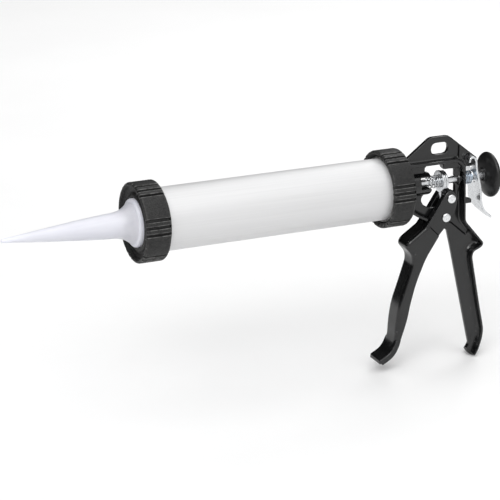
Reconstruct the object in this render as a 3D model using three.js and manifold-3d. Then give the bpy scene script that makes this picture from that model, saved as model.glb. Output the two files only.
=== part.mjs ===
// A closed-barrel caulking gun for cartridges: an aluminium tube with a screw-on front cap and nozzle,
// clamped by a ring nut to a black die-cast frame with a trigger, drive plates, push rod and piston.
// Millimetres, +X towards the nozzle, +Z up, +Y to the user's left.
// Shapes are drawn about the barrel axis, with X = 0 above the hanging slot; the whole assembly is then
// lowered, so that the origin is the centre of the hanging slot in the frame's top web.
import * as THREE from 'three';
import { mergeVertices } from 'three/addons/utils/BufferGeometryUtils.js';
import Module from 'manifold-3d';

const wasm = await Module();
wasm.setup();

// ---- driving dimensions ----
const SLOT_HEIGHT = 30; // hanging slot above the barrel axis
const GAP = 0.3; // between pieces that touch on the real tool
const ROUND = 48; // sides of a large turned piece
const SMALL_ROUND = 24; // sides of a pin, rod or nut

const TUBE_R = 26.5;
const TUBE_WALL = 1.2;
const TUBE_BACK = 46;
const TUBE_FRONT = 268;
const COLLAR_R = 28.5; // threaded collar on each end of the tube
const COLLAR_LENGTH = 10.5;

const RING_R = 33.5; // outside of the ring nut and of the front cap
const RING_BACK = 37.4;
const RING_FRONT = 58.3;
const RING_LIP = 3.8;
const RING_HOLE_R = 20;
const CAP_BACK = 259.5;
const CAP_FRONT = 281.2;
const CAP_HOLE_R = 20.6;
const THREAD_R = COLLAR_R + 0.4; // bore of the ring nut and of the cap

const ROD_R = 3.15;
const ROD_BORE_R = ROD_R + GAP;
const ROD_BACK = -52.5;
const ROD_FRONT = 260;
const PISTON_X = 248; // back face of the piston plate
const BORE_R = TUBE_R - TUBE_WALL;

const WEB = 2.2; // half thickness of the casting's web
const BEAM_HALF = 9; // half width of the flange along the top
const GRIP_HALF = 10; // half width of the flange down the grip, and of the trigger
const FLANGE = 2.8; // thickness of the casting's flanges
const BOSS_R = 10; // front rod guide
const BOSS_BACK = 9.5;
const NECK_R = 19;
const NECK_BACK = 33;
const DISC_R = 26.2; // round flange that the ring nut clamps

const PIVOT = [-4.7, -30.9]; // trigger pivot, X and Z
const DRIVE_PIN = [-9.3, -14.4]; // the pin that pushes the drive plates
const PIN_R = 3;
const HEAD_SLOT = 2.6; // half width of the slot in the trigger's head
const HEAD_HALF = 9; // half width over the trigger's head
const TRIGGER_SHELL = 3; // wall of the trigger's channel

const WASHER_X = -0.7; // front face of the thrust washer
const PLATE = 1.6; // thickness of a drive plate
const WASHER = 1.5; // thickness of the thrust washer
const LEVER_PIN = [-28.3, 17.3]; // pin that the release lever hooks over
const LEVER_PIN_R = 1.5;
const LEVER = 1.8; // thickness of the lever's sheet
const LEVER_HALF = 11.4; // half width of the lever
const KNOB_R = 20;
const THROUGH = 60; // reach of a tool that drills right through a piece

// ---- materials ----
const finish = (color, metalness, roughness) =>
  new THREE.MeshStandardMaterial({ color, metalness, roughness });
const PAINT = [0x1c1d1f, 0.1, 0.38];
const RING_PLASTIC = [0x2b2c2d, 0.0, 0.62];
const ALUMINIUM = [0xd9dbdc, 0.85, 0.42];
const ZINC = [0xc4c9cc, 0.9, 0.32];
const NOZZLE_PLASTIC = [0xe6e8f2, 0.0, 0.45];
const KNOB_PLASTIC = [0x0f0f10, 0.0, 0.16];
const RUBBER = [0x26262a, 0.0, 0.8];
const WHITE_PLASTIC = [0xe8e8e2, 0.0, 0.5];

// ---- solids ----
function toSolid(geometry) {
  const bare = geometry.clone();
  bare.deleteAttribute('normal');
  bare.deleteAttribute('uv');
  const welded = mergeVertices(bare, 1e-4);
  const index = Array.from(welded.index.array);
  const triVerts = [];
  for (let i = 0; i < index.length; i += 3) {
    const [a, b, c] = index.slice(i, i + 3);
    if (a !== b && b !== c && c !== a) triVerts.push(a, b, c);
  }
  const mesh = new wasm.Mesh({
    numProp: 3,
    vertProperties: Float32Array.from(welded.attributes.position.array),
    triVerts: Uint32Array.from(triVerts),
  });
  return new wasm.Manifold(mesh);
}

function toGeometry(solid) {
  const mesh = solid.getMesh();
  const geometry = new THREE.BufferGeometry();
  geometry.setAttribute('position', new THREE.BufferAttribute(mesh.vertProperties, 3));
  geometry.setIndex(new THREE.BufferAttribute(mesh.triVerts, 1));
  geometry.computeVertexNormals();
  return geometry;
}

const join = (first, ...others) => others.reduce((sum, solid) => sum.add(solid), first);
const cut = (first, ...others) => others.reduce((rest, solid) => rest.subtract(solid), first);

// A closed turned shape about the X axis. Each profile point is [radius, x].
function turned(profile, sides = ROUND) {
  const points = profile.map(([r, x]) => new THREE.Vector2(r, x));
  const onAxis = profile[0][0] === 0 && profile.at(-1)[0] === 0;
  if (THREE.ShapeUtils.area(points) < 0) points.reverse();
  if (!onAxis) points.push(points[0].clone());
  const geometry = new THREE.LatheGeometry(points, sides);
  geometry.rotateZ(-Math.PI / 2);
  return toSolid(geometry);
}

const ring = (inner, outer, back, front, sides = ROUND) =>
  turned([[inner, back], [outer, back], [outer, front], [inner, front]], sides);
const rod = (radius, back, front, sides = SMALL_ROUND) =>
  turned([[0, back], [radius, back], [radius, front], [0, front]], sides);

function boxSolid(low, high) {
  const size = low.map((value, i) => high[i] - value);
  const geometry = new THREE.BoxGeometry(...size);
  geometry.translate(...low.map((value, i) => value + size[i] / 2));
  return toSolid(geometry);
}

// An outline in the XZ plane from points [x, z, corner radius].
function outline(points) {
  const shape = new THREE.Shape();
  const count = points.length;
  points.forEach(([x, z, radius = 0], i) => {
    const corner = new THREE.Vector2(x, z);
    const before = new THREE.Vector2(...points[(i + count - 1) % count].slice(0, 2));
    const after = new THREE.Vector2(...points[(i + 1) % count].slice(0, 2));
    const reach = Math.min(radius, before.distanceTo(corner) * 0.49, after.distanceTo(corner) * 0.49);
    const start = corner.clone().lerp(before, reach / before.distanceTo(corner));
    const end = corner.clone().lerp(after, reach / after.distanceTo(corner));
    if (i === 0) shape.moveTo(start.x, start.y);
    else shape.lineTo(start.x, start.y);
    if (reach > 0) shape.quadraticCurveTo(corner.x, corner.y, end.x, end.y);
  });
  shape.closePath();
  return shape;
}

// An outline in the XZ plane made solid between two Y values.
function slab(points, left, right) {
  const shape = points instanceof THREE.Shape ? points : outline(points);
  const options = { depth: right - left, bevelEnabled: false, curveSegments: 3 };
  const geometry = new THREE.ExtrudeGeometry(shape, options);
  geometry.rotateX(Math.PI / 2);
  geometry.translate(0, right, 0);
  return toSolid(geometry);
}

// An outline in the YZ plane made solid between two X values.
function plate(points, back, front) {
  const options = { depth: front - back, bevelEnabled: false, curveSegments: 3 };
  const geometry = new THREE.ExtrudeGeometry(outline(points), options);
  const axes = [new THREE.Vector3(0, 1, 0), new THREE.Vector3(0, 0, 1), new THREE.Vector3(1, 0, 0)];
  geometry.applyMatrix4(new THREE.Matrix4().makeBasis(...axes));
  geometry.translate(back, 0, 0);
  return toSolid(geometry);
}

// A strip of even thickness on the right-hand side of an open path of [x, z, corner radius].
function strip(path, thickness) {
  const normals = path.slice(1).map(([x, z], i) => {
    const along = new THREE.Vector2(x - path[i][0], z - path[i][1]).normalize();
    return new THREE.Vector2(along.y, -along.x);
  });
  const inner = path.map(([x, z, radius = 0], i) => {
    const a = normals[Math.max(i - 1, 0)];
    const b = normals[Math.min(i, normals.length - 1)];
    const mitre = a.clone().add(b);
    mitre.multiplyScalar(thickness * 2 / mitre.lengthSq());
    return [x + mitre.x, z + mitre.y, radius];
  });
  return [...path, ...inner.reverse()];
}

function crossPin(radius, half, [x, z]) {
  const geometry = new THREE.CylinderGeometry(radius, radius, half * 2, SMALL_ROUND);
  geometry.translate(x, 0, z);
  return toSolid(geometry);
}

class Helix extends THREE.Curve {
  constructor(radius, length, turns) {
    super();
    Object.assign(this, { radius, length, turns });
  }

  getPoint(t) {
    const angle = t * this.turns * 2 * Math.PI;
    return new THREE.Vector3(t * this.length, this.radius * Math.cos(angle), this.radius * Math.sin(angle));
  }
}

// A round wire spring along +X; length is from the centre of the first turn to that of the last.
function spring(radius, wire, length, turns) {
  const section = new THREE.Shape();
  section.absarc(0, 0, wire / 2, 0, Math.PI * 2);
  const path = new Helix(radius, length, turns);
  const options = { steps: Math.round(turns * 14), curveSegments: 3, bevelEnabled: false, extrudePath: path };
  return toSolid(new THREE.ExtrudeGeometry(section, options));
}

// ---- frame: one die casting with web, flanges, grip, clamp disc and rod guides ----
const GRIP_BACK = [
  [-22.2, 14], [-24, -36.7, 3], [-42.9, -59.2, 3], [-40.8, -62.8, 2], [-32.6, -66.2, 3], [-31.8, -71, 2],
  [-39.9, -113, 6], [-46.3, -143, 8], [-41.3, -160, 6], [-37.2, -166, 4], [-27, -158.6, 3], [-26.8, -154.8],
];
const TOP_PLATE = [
  [36, 20.4], [29.8, 25.2], [9.5, 40.6, 3], [-8.5, 40.6, 3], [-37.2, 17.4], [-33.2, 10.6], [-22.4, 10.6],
];
const GRIP_FRONT = [
  [-37, -164.6], [-33.4, -162.4], [-35.4, -155], [-23.6, -103.6], [-13.7, -60.2, 6], [-9.6, -44.5, 3],
];
const STRUT = [[4.5, -39.5, 5], [13, -32.4, 2], [24, -26.3, 3], [36, -18]];
const WINDOW = [
  [13.7, 15.5, 3], [13.7, -9], [17.2, -13.5, 3], [14.8, -19, 3], [8.5, -22.6, 3], [-12.5, -21.6, 4],
  [-18.2, -17, 2], [-18.2, 10.8], [-3.5, 10.8, 1.5], [-4, 15.5],
];
const HANGING_SLOT = [[8.1, 35.2, 9], [8.1, 24.8, 9], [-8.1, 24.8, 9], [-8.1, 35.2, 9]];
const TOP_FLANGE = [[-22.2, 14], [-17, 20.4, 4], [36, 20.4]];
const STRUT_FLANGE = [[35, -18.9], [24, -26.7, 3], [14, -32.2]];
const WEB_INSET = 0.4; // the web stops inside the flange down the grip
const SPRING_NOTCH = [[BOSS_BACK - 1, -BOSS_R - 1, -3.6], [BOSS_BACK + 10.8, BOSS_R + 1, 7]];
const REAR_GUIDE = [[0, -24.6], [6.4, -24.6], [6.4, -20.6], [4.8, -17.6], [0, -17.6]];
const PEG = [[-22, -15.5], [-31.5, -19], [-33.4, -19.6], [-33.4, -23.6], [-22, -23.6]];
const REAR_PAD = [[-17.6, 33], [-30, 23], [-22, 23], [-22, 19], [-17.6, 19]]; // thicker rear end of the top web
const PAD_HALF = 4.6;

function frameSolid() {
  const grip = GRIP_BACK.slice(1, -2).map(([x, z, radius]) => [x + WEB_INSET, z + WEB_INSET, radius]);
  const webShape = outline([...TOP_PLATE, ...grip, ...GRIP_FRONT, ...STRUT]);
  webShape.holes.push(outline(WINDOW));
  webShape.holes.push(outline(HANGING_SLOT));
  const web = slab(webShape, -WEB, WEB);
  const beam = slab(strip(TOP_FLANGE, FLANGE), -BEAM_HALF, BEAM_HALF);
  const gripFlange = slab(strip([...GRIP_BACK].reverse(), FLANGE), -GRIP_HALF, GRIP_HALF);
  const strutFlange = slab(strip(STRUT_FLANGE, -FLANGE), -BEAM_HALF, BEAM_HALF);
  const clampDisc = rod(DISC_R, RING_BACK + RING_LIP + GAP, TUBE_BACK - GAP, ROUND);
  const neck = rod(NECK_R, NECK_BACK, RING_BACK + RING_LIP + 1, ROUND);
  const boss = rod(BOSS_R, BOSS_BACK, NECK_BACK + 1, ROUND);
  const notchedBoss = cut(boss, boxSolid(...SPRING_NOTCH));
  const rearGuide = turned(REAR_GUIDE, SMALL_ROUND);
  const peg = slab(PEG, -WEB, WEB);
  const pad = slab(REAR_PAD, -PAD_HALF, PAD_HALF);
  const body = join(web, beam, gripFlange, strutFlange, clampDisc, neck, notchedBoss, rearGuide, peg, pad);
  const pivotHole = crossPin(PIN_R + GAP, THROUGH, PIVOT);
  const hookHole = crossPin(LEVER_PIN_R + GAP, THROUGH, LEVER_PIN);
  return cut(body, rod(ROD_BORE_R, -THROUGH, THROUGH), pivotHole, hookHole);
}

// ---- trigger: a channel with a solid forked head ----
const TRIGGER_FRONT = [
  [12.4, -35.4], [31.6, -48.4, 3], [34, -53.4, 3], [27, -62.4, 3], [26.4, -69, 4], [33.6, -91, 8],
  [39.2, -107, 8], [41.6, -124, 10], [42.1, -138.5, 6], [47, -148.8, 5], [57, -154.2],
];
const TRIGGER_BACK = [
  [57.4, -158, 1], [50.4, -155.4, 3], [43.6, -149, 6], [37.6, -140, 8], [31, -120, 10], [28.6, -107, 8],
  [23.4, -87.4, 8], [14.2, -65.4, 6], [1.9, -46.8],
];
const TRIGGER_HEAD = [
  [15.3, -37.8], [8.4, -28.3, 4], [-2.4, -12, 4], [-6, -7.2, 4], [-12, -7.2, 5], [-16.2, -14.4, 5],
  [-14.2, -25, 5], [-10.4, -33, 4], [1.9, -46.8], [9, -57], [19, -52],
];
const CHANNEL_HALF = GRIP_HALF - TRIGGER_SHELL;
const CHANNEL_BACK = [[20, -150], [-20, -100], [-30, -30], [0, -20]];

function triggerSolid() {
  const shell = slab([...TRIGGER_FRONT, ...TRIGGER_BACK], -GRIP_HALF, GRIP_HALF);
  const inside = strip(TRIGGER_FRONT.slice(0, -2), TRIGGER_SHELL).slice(TRIGGER_FRONT.length - 2).reverse();
  const channel = slab([...inside, ...CHANNEL_BACK], -CHANNEL_HALF, CHANNEL_HALF);
  const head = join(slab(TRIGGER_HEAD, HEAD_SLOT, HEAD_HALF), slab(TRIGGER_HEAD, -HEAD_HALF, -HEAD_SLOT));
  const pivotHole = crossPin(PIN_R + GAP, THROUGH, PIVOT);
  const driveHole = crossPin(PIN_R + GAP, THROUGH, DRIVE_PIN);
  return cut(join(cut(shell, channel), head), pivotHole, driveHole);
}

// A riveted pin across the tool, centred on its own origin.
function rivetSolid() {
  const neck = HEAD_HALF + GAP;
  const half = [[0, neck + 1.6], [2, neck + 1.5], [3.4, neck + 1], [4, neck + 0.3], [4, neck], [PIN_R, neck]];
  const profile = [...half, ...half.map(([r, y]) => [r, -y]).reverse()].reverse();
  return toSolid(new THREE.LatheGeometry(profile.map((p) => new THREE.Vector2(...p)), SMALL_ROUND));
}

// ---- drive: washer and two plates that grip the rod ----
const mirrored = (half) => [...half, ...half.map(([y, z, radius]) => [-y, z, radius]).reverse()];
const PLATE_R = 9;
const PLATE_FLAT = -5.5; // height at which the round part ends
const TONGUE = [[5, 0], [5, -4, 1], [2, -6.4, 1], [2, -17.6, 1]];

function drivePlateSolid(back) {
  const tongue = plate(mirrored(TONGUE), back, back + PLATE);
  const kept = boxSolid([back - 1, -THROUGH, PLATE_FLAT], [back + PLATE + 1, THROUGH, THROUGH]);
  const disc = rod(PLATE_R, back, back + PLATE).intersect(kept);
  return cut(join(disc, tongue), rod(ROD_BORE_R, back - 1, back + PLATE + 1));
}

// ---- release lever: bent sheet, forked at the top, with a slot for the rod ----
const LEVER_LINE = [
  [-24, 17, 1], [-25, 21.4, 2.2], [-30, 22, 2.2], [-32.4, 17.6, 2], [-32.8, 11, 3], [-37.6, -8, 6],
  [-38.6, -22, 5], [-42.4, -28.6, 4], [-51, -36.4],
];
const LEVER_BACK = -60; // reach of the lever's cutting tools along X
const LEVER_FRONT = -20;
const LEVER_WIDTH = [[LEVER_HALF, 30], [LEVER_HALF, -26, 6], [7.5, -36, 2], [7.5, -42]];
const FORK_HALF = WEB + 0.5;
const FORK_LOW = 8.4;
const HOLE_HALF = 3.9;
const HOLE_LOW = -4.4;
const HOLE_HIGH = 5.2;

function leverSolid() {
  const sheet = slab(strip(LEVER_LINE, -LEVER), -LEVER_HALF, LEVER_HALF);
  const width = plate(mirrored(LEVER_WIDTH), LEVER_BACK, LEVER_FRONT);
  const fork = boxSolid([LEVER_BACK, -FORK_HALF, FORK_LOW], [LEVER_FRONT, FORK_HALF, THROUGH]);
  const hole = boxSolid([LEVER_BACK, -HOLE_HALF, HOLE_LOW], [LEVER_FRONT, HOLE_HALF, HOLE_HIGH]);
  return cut(sheet.intersect(width), fork, hole);
}

// ---- rod group ----
const knobProfile = [
  [0, -43.4], [6, -43.7], [12, -44.9], [17, -46.8], [19.3, -48.4], [KNOB_R, -50], [19.4, -51.4],
  [17.6, -52.4], [9, -54], [0, -54.4],
];

function knobSolid() {
  return cut(turned(knobProfile), rod(ROD_BORE_R, -THROUGH, 0));
}

function hexNut(radius, bore, back, front) {
  return cut(rod(radius, back, front, 6), rod(bore, back - 1, front + 1));
}

const cupProfile = [
  [ROD_BORE_R, PISTON_X - 7.5], [23.2, PISTON_X - 7.5], [BORE_R - GAP, PISTON_X - 9.5],
  [BORE_R - GAP, PISTON_X - GAP], [ROD_BORE_R, PISTON_X - GAP],
];

// ---- barrel and front ----
const ringProfile = [
  [RING_HOLE_R, RING_BACK], [32.3, RING_BACK], [RING_R, RING_BACK + 1.2], [RING_R, RING_FRONT - 0.8],
  [32.7, RING_FRONT], [30.6, RING_FRONT], [THREAD_R, RING_FRONT - 1.6], [THREAD_R, RING_BACK + RING_LIP],
  [RING_HOLE_R, RING_BACK + RING_LIP],
];
const capProfile = [
  [THREAD_R, CAP_BACK], [32.4, CAP_BACK], [RING_R, CAP_BACK + 1], [RING_R, CAP_FRONT - 1], [32.4, CAP_FRONT],
  [30.6, CAP_FRONT], [29, CAP_FRONT - 3], [24.4, CAP_FRONT - 3.8], [22.4, CAP_FRONT - 2.2],
  [CAP_HOLE_R, CAP_FRONT - 2.2], [CAP_HOLE_R, 274], [THREAD_R, 274],
];
const NOZZLE_SIDES = 36;
const nozzleProfile = [
  [0, 387], [1.9, 375], [3.7, 358], [5.4, 342], [7.2, 325], [8.6, 309], [8.8, 300], [9.9, 294], [13.2, 288],
  [17.6, 282], [18, 271.3], [25, 271.3], [25, 273.4], [20.2, 273.7], [20.2, 279.8], [19.8, 281.8],
  [18.3, 283], [17.2, 283.4], [14.2, 287], [11.6, 292], [10.4, 298], [10.1, 307], [8.6, 326],
  [6.8, 343], [5.1, 360], [3.3, 376.5], [1.7, 391], [1, 392.5], [0, 392.9],
];

// ---- assembly ----
const assembly = new THREE.Group();
assembly.position.z = -SLOT_HEIGHT;

function group() {
  const made = new THREE.Group();
  assembly.add(made);
  return made;
}

function add(parent, name, solid, look, position = [0, 0, 0]) {
  const mesh = new THREE.Mesh(toGeometry(solid), finish(...look));
  mesh.name = name;
  mesh.position.set(...position);
  parent.add(mesh);
}

const frame = group();
add(frame, 'frame_casting', frameSolid(), PAINT);
add(frame, 'lever_pin', crossPin(LEVER_PIN_R, 8.6, [0, 0]), PAINT, [LEVER_PIN[0], 0, LEVER_PIN[1]]);
add(frame, 'release_spring', spring(5.3, 0.9, 6, 4.5), ZINC, [-31.4, 0, 0]);

const trigger = group();
add(trigger, 'trigger', triggerSolid(), PAINT);
add(trigger, 'pivot_rivet', rivetSolid(), ZINC, [PIVOT[0], 0, PIVOT[1]]);
add(trigger, 'drive_pin', rivetSolid(), ZINC, [DRIVE_PIN[0], 0, DRIVE_PIN[1]]);

const drive = group();
add(drive, 'thrust_washer', ring(ROD_BORE_R, 9.5, WASHER_X - WASHER, WASHER_X), ZINC);
add(drive, 'drive_plate_front', drivePlateSolid(WASHER_X - WASHER - GAP - PLATE), ZINC);
add(drive, 'drive_plate_rear', drivePlateSolid(WASHER_X - WASHER - 2 * GAP - 2 * PLATE), ZINC);
add(drive, 'return_spring', spring(5.2, 1.1, 8.6, 3.5), ZINC, [WASHER_X + 0.9, 0, 0]);

const release = group();
add(release, 'release_lever', leverSolid(), ZINC);

const pushRod = group();
add(pushRod, 'push_rod', rod(ROD_R, ROD_BACK, ROD_FRONT), ZINC);
add(pushRod, 'knob', knobSolid(), KNOB_PLASTIC);
add(pushRod, 'knob_nut', hexNut(5.5, ROD_BORE_R, -58.4, -54.7), ZINC);
add(pushRod, 'piston_washer', ring(ROD_BORE_R, 9, PISTON_X - 9.4, PISTON_X - 7.8, SMALL_ROUND), ZINC);
add(pushRod, 'piston_cup', turned(cupProfile), RUBBER);
add(pushRod, 'piston_plate', ring(ROD_BORE_R, 24, PISTON_X, PISTON_X + 3), WHITE_PLASTIC);
add(pushRod, 'piston_nut', hexNut(6, ROD_BORE_R, PISTON_X + 3.3, PISTON_X + 8.3), ZINC);

const ringNut = group();
add(ringNut, 'rear_ring_nut', turned(ringProfile), RING_PLASTIC);

const barrel = group();
add(barrel, 'barrel_tube', ring(BORE_R, TUBE_R, TUBE_BACK, TUBE_FRONT), ALUMINIUM);
add(barrel, 'rear_collar', ring(TUBE_R + GAP, COLLAR_R, TUBE_BACK, TUBE_BACK + COLLAR_LENGTH), RING_PLASTIC);
add(barrel, 'front_collar', ring(TUBE_R + GAP, COLLAR_R, TUBE_FRONT - COLLAR_LENGTH, TUBE_FRONT), RING_PLASTIC);

const front = group();
add(front, 'front_seat', ring(16, 28.3, TUBE_FRONT + GAP, 271), WHITE_PLASTIC);
add(front, 'nozzle', turned(nozzleProfile, NOZZLE_SIDES), NOZZLE_PLASTIC);
add(front, 'front_cap', turned(capProfile), RING_PLASTIC);

const gun = new THREE.Group();
gun.add(assembly);

export default gun;
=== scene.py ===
"""The looks of a closed-barrel caulking gun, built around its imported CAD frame.

Shapes are drawn in millimetres about the barrel's axis: x towards the nozzle, y to the user's left, z up.
"""
import math

import bmesh
import bpy
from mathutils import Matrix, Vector


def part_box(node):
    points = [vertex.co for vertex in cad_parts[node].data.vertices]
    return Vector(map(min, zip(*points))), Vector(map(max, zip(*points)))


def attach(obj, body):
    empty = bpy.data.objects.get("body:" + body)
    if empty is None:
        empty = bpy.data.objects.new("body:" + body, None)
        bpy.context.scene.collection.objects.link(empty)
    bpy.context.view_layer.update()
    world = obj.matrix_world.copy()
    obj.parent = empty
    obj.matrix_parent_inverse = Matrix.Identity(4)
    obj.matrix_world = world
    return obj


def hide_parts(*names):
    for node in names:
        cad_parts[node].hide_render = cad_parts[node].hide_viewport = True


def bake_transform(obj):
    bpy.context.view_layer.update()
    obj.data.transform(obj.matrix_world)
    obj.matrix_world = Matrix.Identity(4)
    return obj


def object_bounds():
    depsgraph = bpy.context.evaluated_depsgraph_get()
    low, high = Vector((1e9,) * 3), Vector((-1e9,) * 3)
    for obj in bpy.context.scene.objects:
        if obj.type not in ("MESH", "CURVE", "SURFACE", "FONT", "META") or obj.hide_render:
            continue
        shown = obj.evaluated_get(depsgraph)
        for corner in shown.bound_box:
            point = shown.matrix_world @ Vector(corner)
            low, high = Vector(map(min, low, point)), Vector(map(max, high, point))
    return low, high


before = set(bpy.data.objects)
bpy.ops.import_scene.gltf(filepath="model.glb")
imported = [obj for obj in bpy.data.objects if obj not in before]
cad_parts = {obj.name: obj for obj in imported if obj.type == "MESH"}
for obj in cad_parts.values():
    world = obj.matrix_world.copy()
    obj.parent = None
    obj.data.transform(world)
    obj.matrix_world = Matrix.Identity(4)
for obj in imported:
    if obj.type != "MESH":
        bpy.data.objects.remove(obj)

cad_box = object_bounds()

# ---- sizes taken from the frame, in millimetres ----
MM = 0.001
tube_low, tube_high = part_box("barrel_tube")
AXIS = (tube_low.z + tube_high.z) / 2 / MM
VOXEL = 0.45  # grain of the castings' skin


def span(node):
    """Back end, front end and largest radius of a node that is turned about the barrel's axis."""
    low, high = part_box(node)
    return low.x / MM, high.x / MM, max(high.y, -low.y) / MM


def middle(node):
    """Centre of a node in the XZ plane, measured from the barrel's axis."""
    low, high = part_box(node)
    return (low.x + high.x) / 2 / MM, (low.z + high.z) / 2 / MM - AXIS


TUBE_BACK, TUBE_FRONT, TUBE_R = span("barrel_tube")
ROD_BACK, ROD_FRONT, ROD_R = span("push_rod")
RING_BACK, RING_FRONT, RING_R = span("rear_ring_nut")
CAP_BACK, CAP_FRONT, CAP_R = span("front_cap")
PIVOT = middle("pivot_rivet")
DRIVE_PIN = middle("drive_pin")
LEVER_PIN = middle("lever_pin")
BORE = ROD_R + 0.3  # radius of the holes that the rod runs in
RIVET_BORE = 3.3
LEVER_PIN_BORE = 1.8
WEB = 2.2  # half thickness of the casting's web
BEAM_HALF = 9.0  # half width of the flanges on the top beam and the strut
GRIP_HALF = 10.0  # half width of the grip and the trigger
FLANGE = 2.8  # thickness of a flange
THROUGH = 20  # half length of a hole drilled across the gun


# ---- materials ----
def nodes_of(name):
    """A new material with its node tree, its shader and the piece's own coordinates in metres."""
    material = bpy.data.materials.new(name)
    material.use_nodes = True
    tree = material.node_tree
    shader = tree.nodes["Principled BSDF"]
    coords = tree.nodes.new("ShaderNodeTexCoord").outputs["Object"]
    return material, tree, shader, coords


def noise(tree, coords, scale, detail=4.0, stretch=(1, 1, 1)):
    """A noise pattern's value, about 0.5 on average."""
    mapping = tree.nodes.new("ShaderNodeMapping")
    mapping.inputs["Scale"].default_value = stretch
    tree.links.new(coords, mapping.inputs["Vector"])
    made = tree.nodes.new("ShaderNodeTexNoise")
    made.inputs["Scale"].default_value = scale
    made.inputs["Detail"].default_value = detail
    made.inputs["Roughness"].default_value = 0.55
    tree.links.new(mapping.outputs["Vector"], made.inputs["Vector"])
    return made.outputs["Fac"]


def ramp(tree, value, stops):
    """A colour read from a value, by (place, colour) stops."""
    made = tree.nodes.new("ShaderNodeValToRGB")
    while len(made.color_ramp.elements) < len(stops):
        made.color_ramp.elements.new(0.5)
    for element, (place, color) in zip(made.color_ramp.elements, stops):
        element.position = place
        element.color = (*color, 1)
    tree.links.new(value, made.inputs["Fac"])
    return made.outputs["Color"]


def spread(tree, value, low, high, start=0.3, end=0.7):
    """A value from start to end, made to run from low to high."""
    made = tree.nodes.new("ShaderNodeMapRange")
    made.inputs["From Min"].default_value = start
    made.inputs["From Max"].default_value = end
    made.inputs["To Min"].default_value = low
    made.inputs["To Max"].default_value = high
    tree.links.new(value, made.inputs["Value"])
    return made.outputs["Result"]


def mixed(tree, factor, first, second):
    """One colour at factor 0 and another at factor 1. Each is a colour or an output."""
    made = tree.nodes.new("ShaderNodeMix")
    made.data_type = "RGBA"
    tree.links.new(factor, made.inputs["Factor"])
    color_a, color_b = made.inputs[6], made.inputs[7]  # the node's sockets for RGBA data
    for socket, value in ((color_a, first), (color_b, second)):
        if isinstance(value, tuple):
            socket.default_value = (*value, 1)
        else:
            tree.links.new(value, socket)
    return made.outputs[2]


def bump(tree, shader, height, strength, distance):
    """A fine relief on the shader's surface, distance metres deep."""
    made = tree.nodes.new("ShaderNodeBump")
    made.inputs["Strength"].default_value = strength
    made.inputs["Distance"].default_value = distance
    tree.links.new(height, made.inputs["Height"])
    tree.links.new(made.outputs["Normal"], shader.inputs["Normal"])


def painted_highlight_mask(tree, coords, low, high):
    """0 on flat faces, up to 1 on convex edges, broken up by noise: where a painted highlight lightens the
    edges.
    """
    geometry = tree.nodes.new("ShaderNodeNewGeometry")
    edge = spread(tree, geometry.outputs["Pointiness"], 0, 1, low, high)
    patchy = spread(tree, noise(tree, coords, 260), 0.2, 1, 0.4, 0.62)
    made = tree.nodes.new("ShaderNodeMath")
    made.operation = "MULTIPLY"
    made.use_clamp = True
    tree.links.new(edge, made.inputs[0])
    tree.links.new(patchy, made.inputs[1])
    return made.outputs["Value"]


def paint_material():
    """Satin black enamel on a die casting: faint orange peel, and a painted highlight that lightens its
    convex edges.
    """
    material, tree, shader, coords = nodes_of("black_enamel")
    black, highlight_grey = (0.003, 0.0032, 0.0035), (0.07, 0.07, 0.07)
    clouds = ramp(tree, noise(tree, coords, 45), [(0.3, black), (0.7, (0.006, 0.0062, 0.0065))])
    # Painted highlight: convex edges are lightened towards grey, in place of the bright lines that light
    # draws along them.
    highlit_edges = painted_highlight_mask(tree, coords, 0.525, 0.58)
    tree.links.new(mixed(tree, highlit_edges, clouds, highlight_grey), shader.inputs["Base Color"])
    shader.inputs["Specular IOR Level"].default_value = 0.62
    tree.links.new(spread(tree, noise(tree, coords, 160), 0.15, 0.24), shader.inputs["Roughness"])
    bump(tree, shader, noise(tree, coords, 1400, 3), 0.18, 0.00008)
    return material


def ring_material():
    """Dark moulded plastic with a fine spark-eroded grain, and a painted highlight that lightens its convex
    edges.
    """
    material, tree, shader, coords = nodes_of("grained_plastic")
    pit, peak, highlight_grey = (0.003, 0.003, 0.0032), (0.025, 0.025, 0.0245), (0.2, 0.2, 0.196)
    clouds = ramp(tree, noise(tree, coords, 1100, 2), [(0.35, pit), (0.66, peak)])
    # Painted highlight: the edges of the grooves and rims are lightened towards grey.
    highlit_edges = painted_highlight_mask(tree, coords, 0.508, 0.56)
    shader.inputs["Specular IOR Level"].default_value = 0.35
    tree.links.new(mixed(tree, highlit_edges, clouds, highlight_grey), shader.inputs["Base Color"])
    tree.links.new(spread(tree, noise(tree, coords, 500), 0.46, 0.62), shader.inputs["Roughness"])
    bump(tree, shader, noise(tree, coords, 1500, 2), 0.7, 0.00016)
    return material


def aluminium_material():
    """Satin anodised tube: very light, with faint drawing lines along its length."""
    material, tree, shader, coords = nodes_of("satin_aluminium")
    lines = noise(tree, coords, 700, 3, (0.012, 1, 1))
    clouds = noise(tree, coords, 30, 3, (0.3, 1, 1))
    fine = ramp(tree, lines, [(0.25, (0.66, 0.66, 0.66)), (0.75, (0.76, 0.76, 0.76))])
    tree.links.new(mixed(tree, clouds, fine, (0.72, 0.72, 0.73)), shader.inputs["Base Color"])
    shader.inputs["Metallic"].default_value = 0.4
    tree.links.new(spread(tree, lines, 0.50, 0.60), shader.inputs["Roughness"])
    bump(tree, shader, lines, 0.06, 0.00005)
    return material


def zinc_material(name, tint, low, high):
    """Bright zinc plate on steel, with a mottled bloom and fine scratches."""
    material, tree, shader, coords = nodes_of(name)
    bloom = noise(tree, coords, 190, 5)
    light = tuple(min(1.0, c * 1.12) for c in tint)
    tree.links.new(ramp(tree, bloom, [(0.3, tint), (0.7, light)]), shader.inputs["Base Color"])
    shader.inputs["Metallic"].default_value = 1.0
    tree.links.new(spread(tree, noise(tree, coords, 420, 4), low, high), shader.inputs["Roughness"])
    bump(tree, shader, noise(tree, coords, 900, 3, (0.25, 1, 1)), 0.12, 0.00006)
    return material


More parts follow.
